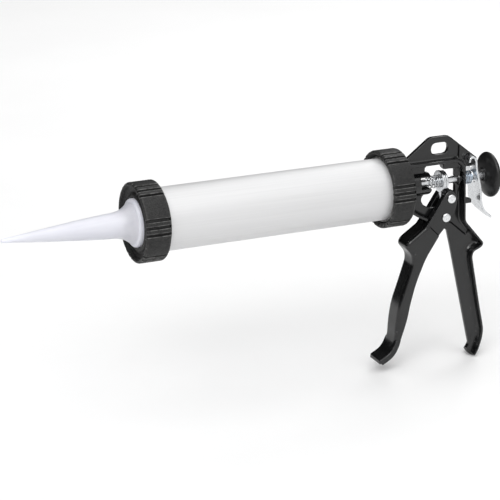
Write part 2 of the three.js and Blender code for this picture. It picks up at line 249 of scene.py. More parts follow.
def nozzle_material():
    """Bluish-white translucent polyethylene with faint flow lines along the cone."""
    material, tree, shader, coords = nodes_of("milky_polyethylene")
    flow = noise(tree, coords, 160, 3, (0.1, 1, 1))
    tint = ramp(tree, flow, [(0.3, (0.70, 0.71, 0.80)), (0.7, (0.77, 0.78, 0.86))])
    tree.links.new(tint, shader.inputs["Base Color"])
    shader.inputs["Subsurface Weight"].default_value = 0.45
    shader.inputs["Subsurface Radius"].default_value = (0.9, 0.95, 1.0)
    shader.inputs["Subsurface Scale"].default_value = 0.006
    tree.links.new(spread(tree, noise(tree, coords, 300), 0.34, 0.46), shader.inputs["Roughness"])
    bump(tree, shader, noise(tree, coords, 800, 2), 0.05, 0.00005)
    return material


def knob_material():
    """Glossy black moulded plastic, with a haze of fine handling marks."""
    material, tree, shader, coords = nodes_of("gloss_black_plastic")
    tint = ramp(tree, noise(tree, coords, 60), [(0.3, (0.005, 0.005, 0.0055)), (0.7, (0.010, 0.010, 0.010))])
    tree.links.new(tint, shader.inputs["Base Color"])
    tree.links.new(spread(tree, noise(tree, coords, 330, 5), 0.33, 0.40), shader.inputs["Roughness"])
    bump(tree, shader, noise(tree, coords, 1300, 2), 0.03, 0.00002)
    return material


def rubber_material():
    """Dull dark rubber of the piston's cup."""
    material, tree, shader, coords = nodes_of("dark_rubber")
    tint = ramp(tree, noise(tree, coords, 300), [(0.3, (0.018, 0.018, 0.02)), (0.7, (0.032, 0.032, 0.034))])
    tree.links.new(tint, shader.inputs["Base Color"])
    tree.links.new(spread(tree, noise(tree, coords, 600), 0.66, 0.82), shader.inputs["Roughness"])
    bump(tree, shader, noise(tree, coords, 1500, 2), 0.25, 0.00008)
    return material


def white_material():
    """Off-white moulded plastic of the piston's plate and the cartridge seat."""
    material, tree, shader, coords = nodes_of("white_moulding")
    tint = ramp(tree, noise(tree, coords, 120), [(0.3, (0.70, 0.70, 0.66)), (0.7, (0.80, 0.80, 0.77))])
    tree.links.new(tint, shader.inputs["Base Color"])
    tree.links.new(spread(tree, noise(tree, coords, 400), 0.42, 0.55), shader.inputs["Roughness"])
    bump(tree, shader, noise(tree, coords, 1200, 2), 0.1, 0.00005)
    return material


PAINT = paint_material()
RING_PLASTIC = ring_material()
ALUMINIUM = aluminium_material()
ZINC = zinc_material("bright_zinc", (0.70, 0.715, 0.73), 0.20, 0.36)
RIVET_STEEL = zinc_material("polished_rivet", (0.78, 0.79, 0.80), 0.16, 0.28)
BLUE_ZINC = zinc_material("blue_passivated_spring", (0.55, 0.63, 0.72), 0.16, 0.30)
NOZZLE_PLASTIC = nozzle_material()
KNOB_PLASTIC = knob_material()
RUBBER = rubber_material()
WHITE_PLASTIC = white_material()


# ---- shapes ----
def rounded(points, closed=True, steps=5):
    """A line through (a, b, corner radius) points, with each corner that has a radius rounded off."""
    made = []
    count = len(points)
    for i, point in enumerate(points):
        here = Vector(point[:2])
        reach = point[2] if len(point) > 2 else 0
        if reach == 0 or (not closed and i in (0, count - 1)):
            made.append(here)
            continue
        before = Vector(points[i - 1][:2])
        after = Vector(points[(i + 1) % count][:2])
        reach = min(reach, (before - here).length * 0.49, (after - here).length * 0.49)
        start = here + (before - here).normalized() * reach
        end = here + (after - here).normalized() * reach
        for k in range(steps + 1):
            t = k / steps
            made.append(start * (1 - t) ** 2 + here * (2 * t * (1 - t)) + end * t * t)
    return made


def finished(bm):
    """The solid's mesh data, in metres, in the part's frame."""
    bmesh.ops.remove_doubles(bm, verts=bm.verts, dist=1e-4)
    bmesh.ops.recalc_face_normals(bm, faces=bm.faces)
    for v in bm.verts:
        v.co = Vector((v.co.x, v.co.y, v.co.z + AXIS)) * MM
    mesh = bpy.data.meshes.new("mesh")
    bm.to_mesh(mesh)
    bm.free()
    return mesh


def grid(rings, bm, close_along=False):
    """Quads between neighbouring closed rings of points. A ring of one point is a pole."""
    made = [[bm.verts.new(p) for p in ring] for ring in rings]
    pairs = list(zip(made, made[1:]))
    if close_along:
        pairs.append((made[-1], made[0]))
    for a, b in pairs:
        count = max(len(a), len(b))
        for i in range(count):
            j = (i + 1) % count
            if len(a) == 1:
                bm.faces.new((a[0], b[j], b[i]))
            elif len(b) == 1:
                bm.faces.new((a[i], a[j], b[0]))
            else:
                bm.faces.new((a[i], a[j], b[j], b[i]))
    return made


def turned(profile, sides=160, shape=None, centre=None):
    """A closed shape turned about the barrel's axis from (radius, x, corner radius) points.

    With a centre it is turned about the line along y through that point, and x is y. A profile that starts on
    the axis is solid. shape(angle, radius, x) gives the radius where the shape isn't round.
    """
    bm = bmesh.new()
    hollow = profile[0][0] > 0
    line = rounded(profile, closed=hollow, steps=4)
    rings = []
    for r, x in line:
        count = 1 if r == 0 else sides
        ring = []
        for k in range(count):
            angle = 2 * math.pi * k / sides
            radius = shape(angle, r, x) if shape and r > 0 else r
            u, v = radius * math.cos(angle), radius * math.sin(angle)
            ring.append((x, u, v) if centre is None else (centre[0] + u, x, centre[1] + v))
        rings.append(ring)
    grid(rings, bm, close_along=hollow)
    return finished(bm)


def hole(radius, half_length, sides, centre=None):
    """A plain cylinder that cuts a hole."""
    ends = [(0, -half_length), (radius, -half_length), (radius, half_length), (0, half_length)]
    return turned(ends, sides, centre=centre)


def slab(points, left, right, holes=(), edge=0.4):
    """An outline in the XZ plane made solid between two y values, with rounded edges."""
    curve = bpy.data.curves.new("outline", "CURVE")
    curve.dimensions = "2D"
    curve.fill_mode = "BOTH"
    curve.extrude = (right - left) / 2 - edge
    curve.bevel_depth = edge
    curve.bevel_resolution = 2
    curve.offset = -edge
    for loop in (points, *holes):
        line = rounded(loop)
        spline = curve.splines.new("POLY")
        spline.points.add(len(line) - 1)
        for p, co in zip(spline.points, line):
            p.co = (co.x, co.y, 0, 1)
        spline.use_cyclic_u = True
    holder = bpy.data.objects.new("outline", curve)
    bpy.context.scene.collection.objects.link(holder)
    bpy.context.view_layer.update()
    drawn = holder.evaluated_get(bpy.context.evaluated_depsgraph_get())
    mesh = bpy.data.meshes.new_from_object(drawn)
    bpy.data.objects.remove(holder)
    bm = bmesh.new()
    bm.from_mesh(mesh)
    for v in bm.verts:
        v.co = Vector((v.co.x, v.co.z + (left + right) / 2, v.co.y))
    return finished(bm)


def both_sides(points, inner, outer, edge):
    """The same slab on the left and on the right of the gun's middle plane."""
    return [slab(points, inner, outer, edge=edge), slab(points, -outer, -inner, edge=edge)]


def across(points, back, front, edge):
    """An outline in the YZ plane made solid between two x values."""
    mesh = slab(points, back, front, edge=edge)
    for v in mesh.vertices:
        x, y, z = v.co
        v.co = (y, x, z)
    mesh.flip_normals()
    return mesh


def mitre_at(back, ahead, depth=1):
    """A step to the right of a path at a corner, that goes a depth away from both of its sides."""
    mitre = Vector((back.y + ahead.y, -back.x - ahead.x))
    return mitre * (2 * depth / mitre.length_squared)


def capped(rings, bm):
    """A tube of rings with both its ends closed."""
    made = grid(rings, bm)
    bm.faces.new(list(reversed(made[0])))
    bm.faces.new(made[-1])
    return finished(bm)


def swept(path, section, width=None):
    """A closed section of (inward, y) points carried along a path of (x, z, corner radius) points.

    Inward is the right-hand side of the path. width(t) gives a factor on the width along the path.
    """
    line = rounded(path, closed=False, steps=7)
    bm = bmesh.new()
    rings = []
    for i, here in enumerate(line):
        a = (here - line[i - 1]).normalized() if i else (line[1] - here).normalized()
        b = (line[i + 1] - here).normalized() if i < len(line) - 1 else a
        mitre = mitre_at(a, b)
        wide = width(i / (len(line) - 1)) if width else 1
        rings.append([(here.x + mitre.x * n, y * wide, here.y + mitre.y * n) for n, y in section])
    return capped(rings, bm)


def mirrored(half):
    """A closed section from its half on the +y side."""
    return list(half) + [(n, -y) for n, y in reversed(half)]


def cove(n0, y0, n1, y1, steps=7):
    """A hollow quarter-ellipse from (n0, y0) on a flange to (n1, y1) on the web."""
    turn = [math.pi / 2 * k / steps for k in range(steps + 1)]
    return [(n1 - (n1 - n0) * math.cos(t), y0 - (y0 - y1) * math.sin(t)) for t in turn]


def box(low, high, edge=0.0):
    """A box between two corners, with rounded edges if edge is given."""
    bm = bmesh.new()
    bmesh.ops.create_cube(bm, size=1)
    for v in bm.verts:
        v.co = Vector([a + (b - a) * (c + 0.5) for a, b, c in zip(low, high, v.co)])
    if edge:
        bmesh.ops.bevel(bm, geom=bm.edges[:], offset=edge, segments=3, profile=0.5, affect="EDGES")
    return finished(bm)


def joined(*meshes):
    """Several closed meshes in one, still apart from each other."""
    bm = bmesh.new()
    for mesh in meshes:
        bm.from_mesh(mesh)
    made = bpy.data.meshes.new("mesh")
    bm.to_mesh(made)
    bm.free()
    return made


def holder_of(mesh):
    """A work object that carries a mesh while modifiers act on it."""
    made = bpy.data.objects.new("work", mesh)
    bpy.context.scene.collection.objects.link(made)
    return made


def applied(holder):
    """The mesh that a work object has with its modifiers."""
    bpy.context.view_layer.update()
    drawn = holder.evaluated_get(bpy.context.evaluated_depsgraph_get())
    mesh = bpy.data.meshes.new_from_object(drawn)
    bpy.data.objects.remove(holder)
    return mesh


def remeshed(mesh, smoothing=0):
    """One skin round every part of the mesh, with its edges softened as a casting's are."""
    holder = holder_of(mesh)
    skin = holder.modifiers.new("skin", "REMESH")
    skin.mode = "VOXEL"
    skin.voxel_size = VOXEL * MM
    if smoothing:
        soft = holder.modifiers.new("soft", "SMOOTH")
        soft.factor = 0.5
        soft.iterations = smoothing
    return applied(holder)


def cut(mesh, *tools):
    """A mesh with the tools' space taken out of it."""
    holder = holder_of(mesh)
    cutters = [holder_of(tool) for tool in tools]
    for cutter in cutters:
        step = holder.modifiers.new("cut", "BOOLEAN")
        step.operation = "DIFFERENCE"
        step.solver = "EXACT"
        step.object = cutter
    made = applied(holder)
    for cutter in cutters:
        bpy.data.objects.remove(cutter)
    return made


def cast(parts, tools, smoothing=3):
    """Parts fused into one casting, then drilled, with every edge softened."""
    return remeshed(cut(remeshed(joined(*parts)), *tools), smoothing)


def piece(name, mesh, body, nodes, material, sharp=35):
    """A finished piece of the gun that stands for CAD nodes and moves with a body.

    Without a body it is to be blended between two bodies. Edges of more than sharp degrees stay sharp.
    """
    made = bpy.data.objects.new(name, mesh)
    bpy.context.scene.collection.objects.link(made)
    mesh.name = name
    mesh.materials.clear()
    mesh.materials.append(material)
    mesh.polygons.foreach_set("use_smooth", [True] * len(mesh.polygons))
    mesh.set_sharp_from_angle(angle=math.radians(sharp))
    if body:
        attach(made, body)
    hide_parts(*nodes)
    return made


# ---- frame casting ----
GRIP_BACK = [
    (-22.2, 14), (-24, -36.7, 3), (-42.9, -59.2, 3), (-40.8, -62.8, 2), (-32.6, -66.2, 3), (-31.8, -71, 2),
    (-39.9, -113, 6), (-46.3, -143, 8), (-41.3, -160, 6), (-37.2, -166, 4),
]
HEEL = (-34.8, -164.2)  # where the grip's back flange ends
TOP_PLATE = [
    (36, 20.4), (29.8, 25.2), (9.5, 40.6, 3), (-8.5, 40.6, 3), (-37.2, 17.4, 1), (-33.2, 10.6), (-22.4, 10.6),
]
GRIP_FRONT = [
    (-37, -164.6), (-33.4, -162.4), (-35.4, -155), (-23.6, -103.6), (-13.7, -60.2, 6), (-9.6, -44.5, 3),
]
STRUT = [(4.5, -39.5, 5), (13, -32.4, 2), (24, -26.3, 3), (36, -18)]
WINDOW = [
    (13.7, 15.5, 3), (13.7, -9), (17.2, -13.5, 3), (14.8, -19, 3), (8.5, -22.6, 3), (-12.5, -21.6, 4),
    (-18.2, -17, 2), (-18.2, 10.8), (-3.5, 10.8, 1.5), (-4, 15.5),
]
POST_POCKET = [
    (-10, -37.4), (-10, -18), (-19.4, -18), (-19.4, 8), (-20.6, 8), (-22, -36.4, 3), (-30.2, -47.6, 1),
    (-28.4, -52, 1), (-13.4, -38.8, 1),
]
POCKET_DEPTH = 1.1
STRUT_LINE = [(35, -18.9), (24, -26.7, 3), (14, -32.2)]
PEG = [(-22, -14.6), (-26, -17.4, 2), (-32.8, -19.3, 0.6), (-33.4, -23.2, 0.6), (-22, -23.6)]
LEVER_PAD = [(-2.6, 17.8), (-3.6, 11.2, 1.5), (-19.5, 10.9), (-20.5, 18)]
THICK_END = [(-17.6, 32.9), (-30, 22.9), (-22, 22.9), (-22, 18.5), (-17.6, 18.5)]
SLOT = [(8.1, 35.2, 9), (8.1, 24.8, 9), (-8.1, 24.8, 9), (-8.1, 35.2, 9)]


def casting_mesh():
    """Web, flanges, clamp disc, rod bosses and peg, fused, and then drilled for the rod and the pins."""
    grip = [(x + 0.6, z + 0.6, *r) for x, z, *r in GRIP_BACK[1:]]  # a little inside the flange's back
    web = slab([*TOP_PLATE, *grip, *GRIP_FRONT, *STRUT], -WEB, WEB, [WINDOW, SLOT], 0.5)
    beam_half = [
        (-1.9, WEB - 0.2), (-1.9, WEB), (-1.1, WEB + 0.35), (-0.4, WEB + 1), (0, WEB + 1.9),
        (0, BEAM_HALF - 0.6), (0.25, BEAM_HALF - 0.15), (0.7, BEAM_HALF), (FLANGE - 0.7, BEAM_HALF),
        (FLANGE - 0.2, BEAM_HALF - 0.2), (FLANGE, BEAM_HALF - 0.6), (FLANGE, WEB + 1.6),
        (FLANGE + 0.5, WEB + 0.5), (FLANGE + 1.6, WEB), (FLANGE + 1.6, WEB - 0.2),
    ]
    beam = swept([(-23, -10), (-22.2, 14), (-17, 20.4, 5), (36, 20.4)], mirrored(beam_half))
    grip_half = [
        (0, GRIP_HALF - 0.9), (0.25, GRIP_HALF - 0.25), (0.9, GRIP_HALF), (1.3, GRIP_HALF),
        (1.7, GRIP_HALF - 0.3), *cove(1.9, GRIP_HALF - 1, 6.4, WEB), (7, WEB - 0.3),
    ]
    up_the_grip = list(reversed(GRIP_BACK + [HEEL]))

    def heel_width(t):
        """The flange's lower end is narrowed to a rounded heel."""
        return min(1, 0.3 + 7 * t)

    back = swept(up_the_grip, mirrored(list(reversed(grip_half))), heel_width)
    strut_half = [
        (0, BEAM_HALF - 0.8), (0.3, BEAM_HALF - 0.2), (0.9, BEAM_HALF), (FLANGE - 0.6, BEAM_HALF),
        (FLANGE, BEAM_HALF - 0.6), (FLANGE, WEB + 2.5), (FLANGE + 0.7, WEB + 0.8), (FLANGE + 2.2, WEB),
        (FLANGE + 2.2, 0.5),
    ]
    strut = swept(STRUT_LINE, mirrored(strut_half))
    disc = turned([(0, 41.5), (26.2, 41.5), (26.2, 45.7), (0, 45.7)], 96)
    neck = turned([(0, 33), (17.5, 33, 1.5), (19, 35.5, 1), (19, 42), (0, 42)], 96)
    guide = turned([(0, 9.5), (9.4, 9.5, 0.8), (10, 11, 0.8), (10, 30), (13, 34.5), (0, 35)], 96)
    rear = turned([(0, -24.6), (6.4, -24.6, 0.6), (6.4, -20.6, 1), (4.6, -17.6), (0, -17.6)], 64)
    peg = slab(PEG, -WEB, WEB, edge=0.5)
    pad = slab(LEVER_PAD, -4.2, 4.2, edge=0.8)
    thick_end = slab(THICK_END, -4.6, 4.6, edge=0.5)
    parts = [web, beam, back, strut, disc, neck, guide, rear, peg, pad, thick_end]
    tools = [
        hole(BORE, 60, 48),
        box((8, -11, -3.6), (20.3, 11, 7)),  # the opening across the front boss
        hole(RIVET_BORE, THROUGH, 40, PIVOT),
        hole(LEVER_PIN_BORE, THROUGH, 24, LEVER_PIN),
        *both_sides(POST_POCKET, WEB - POCKET_DEPTH, BEAM_HALF + 4, edge=0.1),
    ]
    return cast(parts, tools, 2)


piece("frame_body", casting_mesh(), "frame", ["frame_casting"], PAINT)


# ---- trigger ----
TRIGGER_FRONT = [
    (12.4, -35.4), (31.6, -48.4, 3), (34, -53.4, 3), (27, -62.4, 3), (26.4, -69, 4), (33.6, -91, 8),
    (39.2, -107, 8), (41.6, -124, 10), (42.1, -138.5, 6), (47, -148.8, 5), (57, -154.2),
]
TRIGGER_BACK = [
    (57.4, -158, 1), (50.4, -155.4, 3), (43.6, -149, 6), (37.6, -140, 8), (31, -120, 10), (28.6, -107, 8),
    (23.4, -87.4, 8), (14.2, -65.4, 6), (1.9, -46.8),
]
TRIGGER_HEAD = [
    (15.3, -37.8), (8.4, -28.3, 4), (-2.4, -12, 4), (-6, -7.2, 4), (-12, -7.2, 5), (-16.2, -14.4, 5),
    (-14.2, -25, 5), (-10.4, -33, 4), (1.9, -46.8), (9, -57), (19, -52),
]
HEAD_HALF = 9.0  # half width of the forked head
HEAD_SLOT = 2.6  # half width of the fork's slot
SHELL = 2.8  # wall of the trigger's channel
EDGE_ROUND = 3.6  # radius of the channel's outer edges


def inset(path, depth):
    """An open path moved to its right-hand side by a depth."""
    made = []
    for i, (x, z, *r) in enumerate(path):
        here = Vector((x, z))
        a = (here - Vector(path[i - 1][:2])).normalized() if i else None
        b = (Vector(path[i + 1][:2]) - here).normalized() if i < len(path) - 1 else a
        mitre = mitre_at(a or b, b, depth)
        made.append((x + mitre.x, z + mitre.y, *r))
    return made


def trigger_mesh():
    """A channel with a closed front, open to the rear, with a solid toe and a forked head."""
    corner = [math.pi / 2 * k / 6 for k in range(7)]
    flat = GRIP_HALF - EDGE_ROUND
    outer = [(EDGE_ROUND * (1 - math.cos(t)), flat + EDGE_ROUND * math.sin(t)) for t in corner]
    inside = GRIP_HALF - SHELL
    half = [*outer, (5.4, GRIP_HALF), (5.4, inside), (4, inside), (SHELL, flat - 0.4)]
    skin = swept(TRIGGER_FRONT, mirrored(list(reversed(half))))
    wall_front = inset(TRIGGER_FRONT, EDGE_ROUND - 0.1)[:-1] + [(56.6, -157)]
    walls = both_sides([*wall_front, *TRIGGER_BACK], inside, GRIP_HALF, edge=0.7)
    toe = slab([(39.8, -137), *TRIGGER_FRONT[-3:], *TRIGGER_BACK[:3]], -GRIP_HALF, GRIP_HALF, edge=0.9)
    head = both_sides(TRIGGER_HEAD, HEAD_SLOT, HEAD_HALF, edge=0.7)
    tools = [hole(RIVET_BORE, THROUGH, 40, centre) for centre in (PIVOT, DRIVE_PIN)]
    return cast([skin, *walls, toe, *head], tools)


piece("trigger_body", trigger_mesh(), "trigger", ["trigger"], PAINT)


def rivet(name, node, centre):
    """A hollow-headed rivet, peened to a low dome on both sides."""
    neck = HEAD_HALF + 0.3
    half = [
        (0, neck + 1.3), (0.9, neck + 1.35), (1.2, neck + 1.58, 0.3), (2.2, neck + 1.5, 1),
        (3.5, neck + 1.05, 0.8), (4, neck + 0.55, 0.4), (4, neck, 0.1), (3, neck),
    ]
    profile = half + [(r, -y, *c) for r, y, *c in reversed(half)]
    piece(name, turned(profile, 64, centre=centre), "trigger", [node], RIVET_STEEL)


rivet("pivot_rivet_head", "pivot_rivet", PIVOT)
rivet("drive_rivet_head", "drive_pin", DRIVE_PIN)


# ---- drive washer, plates and springs ----
def washer_piece():
    back, front, radius = span("thrust_washer")
    profile = [(BORE, back, 0.2), (radius, back, 0.35), (radius, front, 0.35), (BORE, front, 0.2)]
    piece("thrust_disc", turned(profile, 128), "drive", ["thrust_washer"], ZINC)


def drive_plate(name, node):
    """A round plate with a tongue below, on the rod."""
    back, front, radius = span(node)
    arc = [math.radians(a) for a in range(-32, 213, 6)]
    whole = [(radius * math.cos(a), radius * math.sin(a)) for a in arc]
    round_part = [(y, z) for y, z in whole if z > -5.5]
    tongue = [(-5, -5.5, 0.5), (-2, -6.6, 1), (-2, -17.6, 1), (2, -17.6, 1), (2, -6.6, 1), (5, -5.5, 0.5)]
    blank = across([*round_part, *tongue], back, front, 0.25)
    drill = turned([(0, back - 2), (BORE, back - 2), (BORE, front + 2), (0, front + 2)], 64)
    piece(name, cut(blank, drill), "drive", [node], ZINC)


def coil(name, node, wire, turns, material):
    """A compression spring with flat end turns, stretched between the bodies at its back and front ends."""
    back, front, outside = span(node)
    radius = outside - wire / 2
    steps = round(turns * 40)
    dead = 0.6 / turns  # share of the spring taken by each closed end turn
    rings = []
    for i in range(steps + 1):
        t = i / steps
        angle = 2 * math.pi * turns * t
        lift = min(max((t - dead) / (1 - 2 * dead), 0), 1)
        x = back + wire / 2 + (front - back - wire) * lift
        radial = Vector((0, math.cos(angle), math.sin(angle)))
        ring = []
        for k in range(12):
            a = 2 * math.pi * k / 12
            out = radial * (radius + wire / 2 * math.cos(a))
            ring.append(Vector((x + wire / 2 * math.sin(a), out.y, out.z)))
        rings.append(ring)
    made = piece(name, capped(rings, bmesh.new()), None, [node], material, 60)
    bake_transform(made)


def release_lever():
    """A bent steel strip, forked at the pin and pierced for the rod, with a tapered thumb end."""
    line = [
        (-24, 17, 1), (-25, 21.4, 2.2), (-30, 22, 2.2), (-32.4, 17.6, 2), (-32.8, 11, 3), (-37.6, -8, 6),
        (-38.6, -22, 5), (-42.4, -28.6, 4), (-51, -36.4),
    ]
    thick = 1.8
    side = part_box("release_lever")[1].y / MM
    taper_start = 0.8

    def width(t):
        past = max(0, t - taper_start) / (1 - taper_start)
        return 1 - 0.4 * past ** 1.3

    half = [
        (0, side - 0.4), (-0.25, side - 0.1), (-0.6, side), (-thick + 0.6, side), (-thick + 0.25, side - 0.1),
        (-thick, side - 0.4),
    ]
    sheet = swept(line, mirrored(half), width)
    fork = box((-45, -WEB - 0.5, 8.4), (-20, WEB + 0.5, 30), 0.8)
    rod_hole = box((-45, -3.9, -4.4), (-28, 3.9, 5.2), 0.8)
    mesh = cut(sheet, fork, rod_hole)
    piece("release_lever_plate", mesh, "release_lever", ["release_lever"], ZINC, 30)


def lever_pin():
    end = 8.6
    profile = [
        (0, -end), (1.2, -end, 0.2), (1.5, 0.4 - end, 0.2), (1.5, end - 0.4, 0.2), (1.2, end, 0.2), (0, end),
    ]
    mesh = turned(profile, 32, centre=LEVER_PIN)
    piece("lever_hook_pin", mesh, "frame", ["lever_pin"], PAINT)


washer_piece()
drive_plate("front_grip_plate", "drive_plate_front")
drive_plate("rear_grip_plate", "drive_plate_rear")
coil("return_coil", "return_spring", 1.1, 3.6, ZINC)
coil("release_coil", "release_spring", 0.9, 5, BLUE_ZINC)
release_lever()
lever_pin()


# ---- push rod, knob and piston ----
def rod_piece():
    profile = [
        (0, ROD_BACK), (2.5, ROD_BACK, 0.3), (ROD_R, ROD_BACK + 0.9, 0.3), (ROD_R, ROD_FRONT - 0.9, 0.3),
        (2.5, ROD_FRONT, 0.3), (0, ROD_FRONT),
    ]
    piece("steel_push_rod", turned(profile, 64), "push_rod", ["push_rod"], ZINC)


def knob_piece():
    back, front, radius = span("knob")
    profile = [
        (BORE, front - 0.5), (5.5, front - 0.2, 0.6), (6.6, front - 1.1, 0.6), (12, front - 1.7, 5),
        (17, front - 3.5, 3), (19.4, front - 5.2, 1.2), (radius, front - 6.6, 1), (19.5, front - 8, 1),
        (17.6, front - 9.2, 1.5), (9, back + 0.4, 3), (7.4, back + 0.4, 0.3), (7.2, back, 0.3), (BORE, back),
    ]
    piece("pull_knob", turned(profile, 160), "push_rod", ["knob"], KNOB_PLASTIC)


def hex_nut(name, node):
    """A six-sided nut with its corners chamfered at both ends."""
    back, front, radius = span(node)
    corner = 1.155 * radius * math.cos(math.pi / 6)
    slope = 0.9  # length and depth of the corners' chamfers

    def six(angle, r, x):
        flat = corner * math.cos(math.pi / 6) / math.cos((angle + math.pi / 6) % (math.pi / 3) - math.pi / 6)
        chamfer = corner - slope * max(0, 1 - (x - back) / slope, 1 - (front - x) / slope)
        return min(flat, chamfer) if r > radius - 1 else r

    profile = [
        (BORE + 0.3, back), (radius - 2, back), (radius, back), (radius, back + 0.45), (radius, back + slope),
        (radius, front - slope), (radius, front - 0.45), (radius, front), (radius - 2, front),
        (BORE + 0.3, front), (BORE, front - 0.5), (BORE, back + 0.5),
    ]
    piece(name, turned(profile, 96, six), "push_rod", [node], ZINC, 25)


def piston_pieces():
    back, front, radius = span("piston_cup")
    profile = [
        (BORE, back + 1.4), (15, back + 1.4), (19.5, back + 0.9, 1), (23.6, back, 0.6),
        (radius - 0.6, back + 0.4, 0.5), (radius, back + 2.4, 1), (radius - 0.9, front - 2, 2),
        (radius - 1.2, front, 0.5), (BORE, front),
    ]
    piece("cup_seal", turned(profile, 160), "push_rod", ["piston_cup"], RUBBER)
    back, front, radius = span("piston_plate")
    profile = [
        (BORE, back), (radius - 0.6, back, 0.4), (radius, back + 1, 0.5), (radius - 1.4, front, 0.6),
        (16, front, 0.4), (15.4, front - 0.6, 0.3), (9.6, front - 0.6, 0.3), (9, front, 0.3), (BORE, front),
    ]
    piece("piston_disc", turned(profile, 160), "push_rod", ["piston_plate"], WHITE_PLASTIC)
    back, front, radius = span("piston_washer")
    profile = [(BORE, back, 0.2), (radius, back, 0.4), (radius, front, 0.4), (BORE, front, 0.2)]
    piece("backing_washer", turned(profile, 96), "push_rod", ["piston_washer"], ZINC)


rod_piece()
knob_piece()
hex_nut("knob_locknut", "knob_nut")
hex_nut("piston_locknut", "piston_nut")
piston_pieces()


# ---- barrel ----
GROOVE_GROUPS = 6
GROOVE_STEP = math.radians(10.5)
GROOVE_MIDDLE = math.radians(8)
GROOVE_HALF = math.radians(2.3)
GROOVE_DEPTH = 2.1
THREAD_PITCH = 4.0
THREAD_R = 28.5  # outside of the collars' threads
THREAD_BORE = 28.9  # bore of the ring nut and the cap


def grooved(angle, r, outside):
    """Three finger grooves in each of six groups, on the outside only."""
    if r < outside - 1.6:
        return r
    pitch = 2 * math.pi / GROOVE_GROUPS
    off = (angle - GROOVE_MIDDLE + pitch / 2) % pitch - pitch / 2
    nearest = round(max(-1, min(1, off / GROOVE_STEP))) * GROOVE_STEP
    depth = max(0, 1 - ((off - nearest) / GROOVE_HALF) ** 2)
    return r - GROOVE_DEPTH * min(1, 1.9 * depth)


def threaded(angle, r, x):
    """A round-topped screw thread on the largest radius."""
    if r < THREAD_R - 0.6:
        return r
    wave = math.cos(2 * math.pi * (x / THREAD_PITCH - angle / (2 * math.pi)))
    return THREAD_R - 0.45 + 0.45 * max(-1, min(1, 1.6 * wave))


def ring_nut():
    lip = RING_BACK + 3.8
    profile = [
        (20, RING_BACK, 0.4), (26, RING_BACK, 0.5), (27, RING_BACK + 0.5, 0.4),
        (29.6, RING_BACK + 0.5, 0.4), (30.4, RING_BACK, 0.4), (32.2, RING_BACK, 1),
        (RING_R, RING_BACK + 1.5, 1), (RING_R, RING_FRONT - 1, 0.6),
        (RING_R - 0.9, RING_FRONT, 0.6), (30.8, RING_FRONT, 0.6), (THREAD_BORE, RING_FRONT - 1.8, 0.6),
        (THREAD_BORE, lip, 0.8), (20, lip, 0.5),
    ]
    mesh = turned(profile, 720, lambda angle, r, x: grooved(angle, r, RING_R))
    piece("clamp_ring_nut", mesh, "ring_nut", ["rear_ring_nut"], RING_PLASTIC)


def front_cap():
    face = 274  # the inner face, that the nozzle's flange bears on
    profile = [
        (THREAD_BORE, CAP_BACK, 0.6), (32.2, CAP_BACK, 1), (CAP_R, CAP_BACK + 1.3, 1),
        (CAP_R, CAP_FRONT - 1.1, 0.8), (CAP_R - 1.1, CAP_FRONT, 0.6), (30.9, CAP_FRONT, 0.5),
        (30.1, CAP_FRONT - 0.9, 0.4), (29.3, CAP_FRONT - 3.2, 0.8), (26.8, CAP_FRONT - 3.6, 0.5),
        (26.2, CAP_FRONT - 4.1, 0.3), (24.6, CAP_FRONT - 4.1, 0.4), (23.9, CAP_FRONT - 3.0, 0.4),
        (22.6, CAP_FRONT - 2.3, 0.5), (20.6, CAP_FRONT - 2.3, 0.5), (20.6, face, 0.3),
        (THREAD_BORE, face, 0.3),
    ]
    mesh = turned(profile, 720, lambda angle, r, x: grooved(angle, r, CAP_R))
    piece("threaded_front_cap", mesh, "front_cap", ["front_cap"], RING_PLASTIC)


def collar(name, node):
    """A threaded collar on an end of the tube, with enough stations along it to carry the thread."""
    back, front, radius = span(node)
    inner = TUBE_R + 0.3
    along = [(radius, back + (front - back) * k / 40) for k in range(1, 40)]
    profile = [(inner, back), (radius - 1, back), *along, (radius - 1, front), (inner, front)]
    piece(name, turned(profile, 240, threaded), "barrel", [node], RING_PLASTIC)


def tube():
    wall = 1.2
    chamfer = 0.35
    stations = [TUBE_BACK + 0.6 + (TUBE_FRONT - TUBE_BACK - 1.2) * k / 24 for k in range(25)]
    outside = [(TUBE_R, x) for x in stations]
    inside = [(TUBE_R - wall, x) for x in reversed(stations)]
    profile = [(TUBE_R - chamfer, TUBE_BACK), *outside, (TUBE_R - chamfer, TUBE_FRONT)]
    profile += [(TUBE_R - wall + chamfer, TUBE_FRONT), *inside, (TUBE_R - wall + chamfer, TUBE_BACK)]
    piece("barrel_sleeve", turned(profile, 256), "barrel", ["barrel_tube"], ALUMINIUM)


def seat():
    back, front, radius = span("front_seat")
    profile = [
        (16, back, 0.3), (21, back, 0.3), (21.6, back + 0.5, 0.2), (24, back + 0.5, 0.2), (24.6, back, 0.2),
        (radius, back, 0.4), (radius, front, 0.4), (16, front, 0.3),
    ]
    mesh = turned(profile, 160)
    piece("cartridge_seat", mesh, "nozzle_seat", ["front_seat"], WHITE_PLASTIC)


